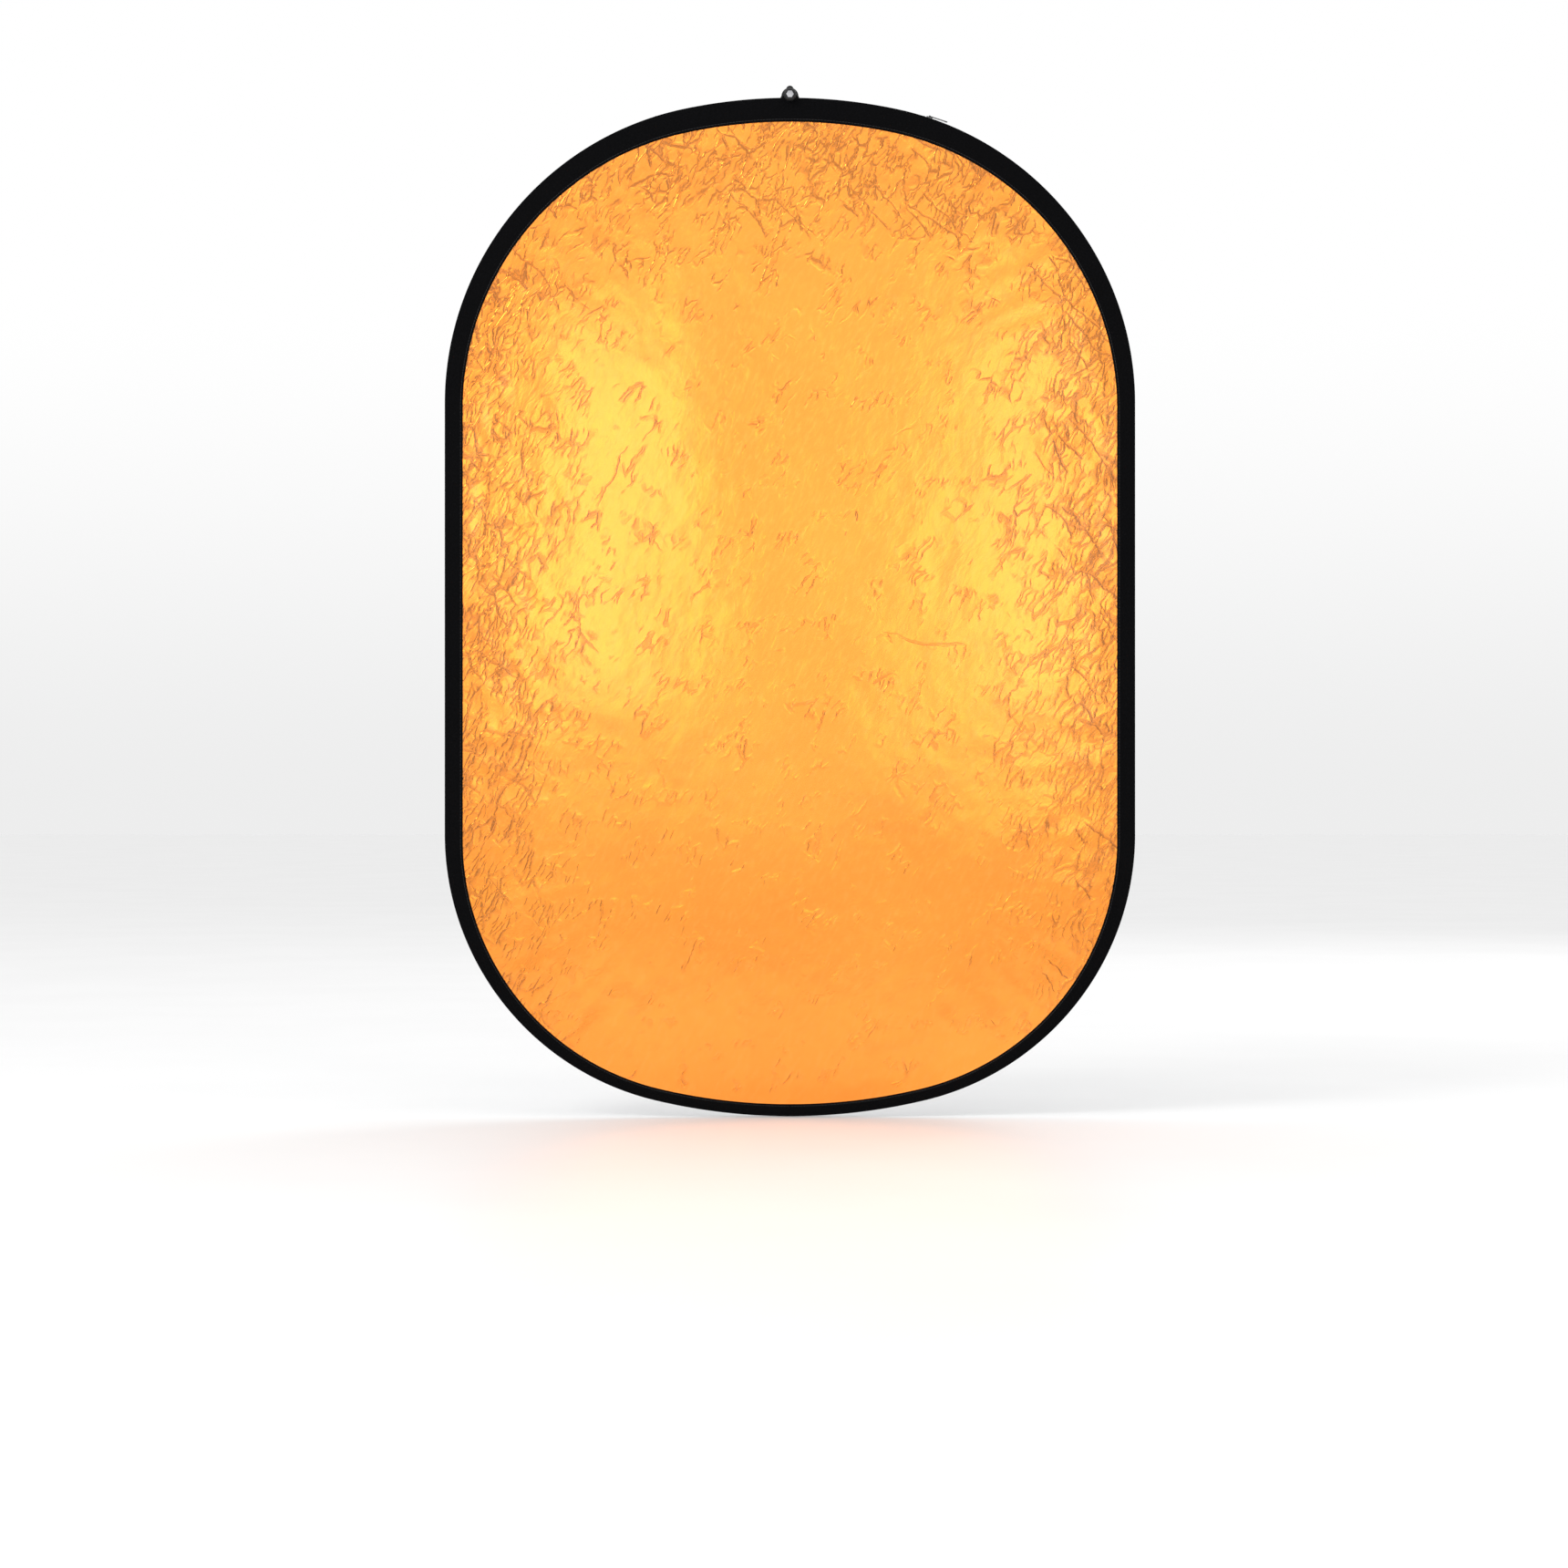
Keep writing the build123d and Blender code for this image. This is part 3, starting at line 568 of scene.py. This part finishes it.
bindingCut = {
    "width": 26.5,              # millimetres, on the cover's face
    "drop": 8.8 * mm,           # the opening sits this much below the middle
    "stitchFromEdge": 3.3,
    "stitchOut": 5.42 * mm,     # from the disc's middle plane
    "ripple": 0.16 * mm,
}
stitchInset = bindingCut["width"] - bindingCut["stitchFromEdge"]
bindingProfile = [
    (0.15, 1.9), (0.0, 2.5), (0.0, 3.9), (0.22, 4.7), (0.8, 5.25), (1.8, 5.45), (6, 5.45), (12, 5.43),
    (18, 5.45), (stitchInset - 1.1, 5.42), (stitchInset, 5.2), (stitchInset + 1.1, 5.42),
    (25.7, 5.45), (26.3, 5.33), (26.5, 5.1), (26.4, 4.78), (23, 4.74), (12, 4.74), (2.2, 4.72),
    (1.1, 4.3), (0.8, 3.4), (0.8, 1.9),
]


def shiftOpening(piece):  # slides the binding's inner part down, by its share of the width
    for vertex in piece.data.vertices:
        along, inset, out = rimPlace(vertex.co.x, vertex.co.z)
        vertex.co.z -= bindingCut["drop"] * smooth(inset, 1.0 * mm, bindingCut["width"] * mm)


def ripple(piece, depth, side):  # shallow dips, none where the grip closes on the rim
    for vertex in piece.data.vertices:
        out = side * (vertex.co.y - midY)
        if out > 5.0 * mm:
            clear = smooth(math.hypot(vertex.co.x, vertex.co.z - rimTop), 0.02, 0.08)
            dip = 0.5 + 0.5 * noise.noise(vertex.co * 42) + 0.3 * noise.noise(vertex.co * 130)
            vertex.co.y -= side * depth * clear * min(max(dip, 0), 1)


def makeBinding(name, side):
    piece = sweepRim(name, bindingProfile, side)
    shiftOpening(piece)
    if side == front:
        cutRows(piece)
    rimUv(piece)
    ripple(piece, bindingCut["ripple"], side)
    dress(piece, "binding")
    return piece


def openingZ(point, inset):  # the same slide for a single point
    return point.z - bindingCut["drop"] * smooth(inset, 1.0 * mm, bindingCut["width"] * mm)


def copyAlong(name, unit, pitch, inset, out, side=front, start=0.0, slide=False):
    copies = []
    for place in range(int((halfLength - start) / pitch)):
        for hand in (-1, 1):
            along = hand * (start + (place + 0.5) * pitch)
            point, turn = rimPoint(along, inset)
            point.y = midY + side * out
            if slide:
                point.z = openingZ(point, inset)
            copy = unit.copy()
            copy.data = unit.data.copy()
            copy.data.transform(Matrix.Translation(point) @ Matrix.Rotation(turn, 4, "Y"))
            bpy.context.collection.objects.link(copy)
            copies.append(copy)
    bpy.ops.object.select_all(action="DESELECT")
    for copy in copies:
        copy.select_set(True)
    bpy.context.view_layer.objects.active = copies[0]
    bpy.ops.object.join()
    piece = bpy.context.object
    piece.name = name
    return piece


stitchCut = {"length": 3.6 * mm, "radius": 0.30 * mm, "pitch": 4.6 * mm}


def stitchUnit():  # one thread stitch along X, thinner and lower at its ends
    bpy.ops.object.select_all(action="DESELECT")
    bpy.ops.mesh.primitive_cylinder_add(vertices=6, radius=stitchCut["radius"], depth=stitchCut["length"],
                                        rotation=(0, quarter, 0))
    unit = bpy.context.object
    unit.name = "stitchUnit"
    bpy.ops.object.transform_apply(location=True, rotation=True, scale=True)
    bpy.ops.object.mode_set(mode="EDIT")
    bpy.ops.mesh.select_all(action="DESELECT")
    bpy.ops.object.mode_set(mode="OBJECT")
    for edge in unit.data.edges:
        first, second = (unit.data.vertices[index].co for index in edge.vertices)
        edge.select = abs(first.x - second.x) > stitchCut["length"] / 2
    bpy.ops.object.mode_set(mode="EDIT")
    bpy.ops.mesh.subdivide(number_cuts=3)
    bpy.ops.object.mode_set(mode="OBJECT")
    for vertex in unit.data.vertices:
        share = abs(vertex.co.x) / (stitchCut["length"] / 2)
        vertex.co.y *= 1 - 0.35 * share ** 3
        vertex.co.z *= 1 - 0.35 * share ** 3
    return unit


def makeStitches(name, side, inset, out, slide, unit):
    sunk = 0.35 * stitchCut["radius"]
    piece = copyAlong(name, unit, stitchCut["pitch"], inset, out - sunk, side, 0.0, slide)
    for vertex in piece.data.vertices:                     # the ends dive into the cloth
        along, here, way = rimPlace(vertex.co.x, vertex.co.z)
        place = abs(along) / stitchCut["pitch"] % 1 - 0.5
        vertex.co.y -= side * 0.5 * stitchCut["radius"] * smooth(abs(place), 0.25, 0.40)
    dress(piece, "thread")
    return piece


print("the rim is being sewn")
frontBinding = makeBinding("frontBinding", front)
backBinding = makeBinding("backBinding", back)
thread = stitchUnit()
frontStitches = makeStitches("frontStitches", front, stitchInset * mm, bindingCut["stitchOut"], True, thread)
backStitches = makeStitches("backStitches", back, stitchInset * mm, bindingCut["stitchOut"], True, thread)

coreCut = {
    "hemStitch": 19.6,          # millimetres from the rim
    "stitchOut": 0.9 * mm,
}
coreStitch = coreCut["hemStitch"]
coreProfile = [
    (2.7, 0.0), (2.75, 2.2), (3.1, 3.2), (3.9, 3.55), (5.2, 3.55), (6.1, 3.2), (6.6, 2.3), (7.3, 1.25),
    (8.6, 0.93), (14, 0.9), (coreStitch - 1, 0.88), (coreStitch, 0.78),
    (coreStitch + 1, 0.88), (21.4, 0.86), (21.6, 0.6), (21.6, 0.0),
]
coreProfile = coreProfile + [(inset, -out) for inset, out in reversed(coreProfile[1:-1])]
coreBinding = sweepRim("coreBinding", coreProfile)
rimUv(coreBinding)
dress(coreBinding, "coreHem")
coreStitches = makeStitches("coreStitches", front, coreStitch * mm, coreCut["stitchOut"], False, thread)
coreBackStitches = makeStitches("coreBackStitches", back, coreStitch * mm, coreCut["stitchOut"], False, thread)
bpy.data.objects.remove(thread)

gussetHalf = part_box("top_gusset")[1].x
gussetProfile = [(0, -1.8), (0, -0.9), (0.06, 0), (0, 0.9), (0, 1.8), (0.8, 1.8), (0.8, 0), (0.8, -1.8)]
gusset = sweepRim("topGusset", gussetProfile)
active(gusset)
bpy.ops.object.mode_set(mode="EDIT")
# only its top stays: cut at both ends, and then the loose lower part taken away
for place, way, closed in (
        ((gussetHalf, 0, 0), (1, 0, 0), True),
        ((-gussetHalf, 0, 0), (-1, 0, 0), True),
        ((0, 0, midZ), (0, 0, -1), False)):
    bpy.ops.mesh.select_all(action="SELECT")
    bpy.ops.mesh.bisect(plane_co=place, plane_no=way, clear_outer=True, use_fill=closed)
bpy.ops.object.mode_set(mode="OBJECT")
rimUv(gusset)
dress(gusset, "binding")


zipCut = {
    "pitch": 2.0 * mm,
    "toothLength": 1.25 * mm,
    "toothRadius": 0.42 * mm,
    "toothInset": 0.05 * mm,
    "toothOut": 0.75 * mm,      # from the disc's middle plane
}
coilTop = max((vertex.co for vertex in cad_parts["back_zip_coil"].data.vertices), key=lambda spot: spot.z)
coilStart = rimPlace(abs(coilTop.x), coilTop.z)[0]


def makeTape(name, side):
    profile = [(0.9, 0.3), (0.9, 1.2), (0.9, 2.6), (0.9, 4.65), (1.3, 4.65), (1.3, 2.6), (1.3, 1.2), (1.3, 0.3)]
    piece = sweepRim(name, profile, side)
    if side == front:
        cutRows(piece)
    rimUv(piece)
    dress(piece, "zipTape")
    return piece


def toothUnit():  # one turn of the coil: a rounded bar across the zip with a fuller head
    bpy.ops.object.select_all(action="DESELECT")
    bpy.ops.mesh.primitive_uv_sphere_add(segments=6, ring_count=5, radius=zipCut["toothRadius"],
                                         rotation=(quarter, 0, 0))
    unit = bpy.context.object
    unit.name = "toothUnit"
    bpy.ops.object.transform_apply(location=True, rotation=True, scale=True)
    for vertex in unit.data.vertices:
        head = vertex.co.y > 0
        vertex.co.y *= zipCut["toothLength"] / 2 / zipCut["toothRadius"]
        vertex.co.z *= 1.55
        vertex.co.x *= 1.0 if head else 0.8
    return unit


def makeTeeth(name, side, unit):
    shift = 0.0 if side == front else zipCut["pitch"] / 2  # the two sides mesh
    start = coilStart + shift
    piece = copyAlong(name, unit, zipCut["pitch"], zipCut["toothInset"], zipCut["toothOut"], side, start)
    dress(piece, "zipCoil")
    return piece


frontTape = makeTape("frontZipTape", front)
backTape = makeTape("backZipTape", back)
tooth = toothUnit()
frontTeeth = makeTeeth("frontZipTeeth", front, tooth)
backTeeth = makeTeeth("backZipTeeth", back, tooth)
bpy.data.objects.remove(tooth)
print("the zip is in")


sheetCut = {
    "inset": 1.7 * mm,
    "coreInset": 9.6 * mm,      # the core's cloth ends at the loop's pocket
    "foilCell": 5.6 * mm,
    "clothCell": 8.0 * mm,
    "foilOut": 4.5 * mm,        # from the disc's middle plane
    "liningOut": 4.05 * mm,
    "foilThick": 0.4 * mm,
    "liningThick": 0.25 * mm,
    "coreThick": 0.4 * mm,
    "relief": 1.9 * mm,         # how far the covers stand out at most
    "coreRelief": 0.9 * mm,
}
frontShift = Vector((0.3, 2.1, 0))                         # a different patch of the noise for each
backShift = Vector((5.2, 7.7, 0))
coreShift = Vector((9.4, 3.3, 0))


def bindingEdge(x, z):  # how far a point lies inside the binding's opening
    shifted = rimPlace(x, z + bindingCut["drop"])[1]
    return shifted - bindingCut["width"] * mm


def creaseHeight(x, z, shift):  # how far the cloth stands out from its plane, between -1 and 1
    spot = Vector((x, z, 0)) + shift
    inside = bindingEdge(x, z)
    if inside < 0:
        return 0
    along, inset, out = rimPlace(x, z)
    free = smooth(inside, 0.0, 0.03)
    nearRim = 1 - smooth(inside, 0.01, 0.20)
    swell = noise.noise(spot * 3.1) * 0.55 + noise.noise(spot * 7.5 + shift) * 0.22
    leaned = Vector((spot.x * 1.0 + spot.y * 0.45, spot.y * 0.42 - spot.x * 0.35, spot.z))
    ridged = (0.5 - abs(noise.noise(leaned * 26))) * 0.22
    ridged += (0.5 - abs(noise.noise(leaned * 55 + shift))) * 0.07
    pucker = noise.noise(Vector((along * 34, inside * 7, shift.x))) * 0.34 * nearRim
    return free * (swell + ridged * (0.35 + 0.9 * nearRim) + pucker)


def stretchSheet(name, cell, out, thick, side, depth, shift, inset=sheetCut["inset"]):
    columns = round(2 * halfWide / cell)
    rows = round(2 * halfHigh / cell)
    bpy.ops.object.select_all(action="DESELECT")
    bpy.ops.mesh.primitive_grid_add(x_subdivisions=columns, y_subdivisions=rows, size=1)
    piece = bpy.context.object
    piece.name = name
    piece.scale = (2 * halfWide, 2 * halfHigh, 1)
    piece.rotation_euler = (quarter, 0, 0)
    piece.location = (0, midY + side * out, midZ)
    bpy.ops.object.transform_apply(location=True, rotation=True, scale=True)
    bpy.ops.object.mode_set(mode="EDIT")
    bpy.ops.mesh.select_all(action="DESELECT")
    bpy.ops.object.mode_set(mode="OBJECT")
    for face in piece.data.polygons:
        face.select = rimPlace(face.center.x, face.center.z)[1] < inset + cell * 0.45
    bpy.ops.object.mode_set(mode="EDIT")
    bpy.ops.mesh.delete(type="FACE")
    bpy.ops.mesh.select_all(action="SELECT")
    bpy.ops.mesh.region_to_loop()
    bpy.ops.object.mode_set(mode="OBJECT")
    for vertex in piece.data.vertices:
        if vertex.select:                                  # the cut edge lies on the outline
            along, here, way = rimPlace(vertex.co.x, vertex.co.z)
            vertex.co += way * (here - inset)
    for vertex in piece.data.vertices:
        height = creaseHeight(vertex.co.x, vertex.co.z, shift)
        vertex.co.y += side * depth * min(max(height, -1), 1)
    if side == front:
        cutRows(piece)
    flatUv(piece)
    if side == back:
        active(piece)
        bpy.ops.object.mode_set(mode="EDIT")
        bpy.ops.mesh.select_all(action="SELECT")
        bpy.ops.mesh.flip_normals()
        bpy.ops.object.mode_set(mode="OBJECT")
    wall = piece.modifiers.new("cloth", "SOLIDIFY")
    wall.thickness = thick
    wall.offset = 0
    applyAll(piece)
    return piece


def makeCover(name, finish, slotName, cell, out, thick, side, shift):
    piece = stretchSheet(name, cell, out, thick, side, sheetCut["relief"], shift)
    dress(piece, finish)
    return piece


foilCut = (sheetCut["foilCell"], sheetCut["foilOut"], sheetCut["foilThick"])
liningCut = (sheetCut["clothCell"], sheetCut["liningOut"], sheetCut["liningThick"])
goldSheet = makeCover("goldSheet", "gold", "gold", *foilCut, front, frontShift)
whiteLining = makeCover("whiteLining", "whiteCloth", "white_cloth", *liningCut, front, frontShift)
silverSheet = makeCover("silverSheet", "silver", "silver", *foilCut, back, backShift)
blackLining = makeCover("blackLining", "blackCloth", "black_cloth", *liningCut, back, backShift)
diffuserSheet = stretchSheet("diffuserSheet", sheetCut["clothCell"], 0.0, sheetCut["coreThick"], front,
                             sheetCut["coreRelief"], coreShift, sheetCut["coreInset"])
dress(diffuserSheet, "diffuser")
print("the cloths are stretched")

# what stays on the rim rides with the arm, and what is unzipped keeps its place in the world
for piece in (backBinding, backStitches, backTape, backTeeth, gusset, silverSheet, blackLining,
              diffuserSheet, coreBinding, coreStitches, coreBackStitches):
    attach(piece, "arm")


for piece in (goldSheet, whiteLining, frontBinding, frontStitches, frontTape, frontTeeth):
    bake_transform(piece)

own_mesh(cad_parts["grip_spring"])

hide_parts("gold_panel", "gold_yoke")
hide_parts("white_lining", "white_lining_yoke")
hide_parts("silver_panel")
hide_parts("black_lining")
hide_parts("diffuser_panel")
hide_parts("core_binding")
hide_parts("front_binding", "front_binding_yoke")
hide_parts("back_binding")
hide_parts("top_gusset")
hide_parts("front_zip_tape", "front_zip_tape_yoke")
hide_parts("back_zip_tape")
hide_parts("front_zip_coil", "front_zip_coil_yoke")
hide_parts("back_zip_coil")

bpy.ops.object.select_all(action="DESELECT")
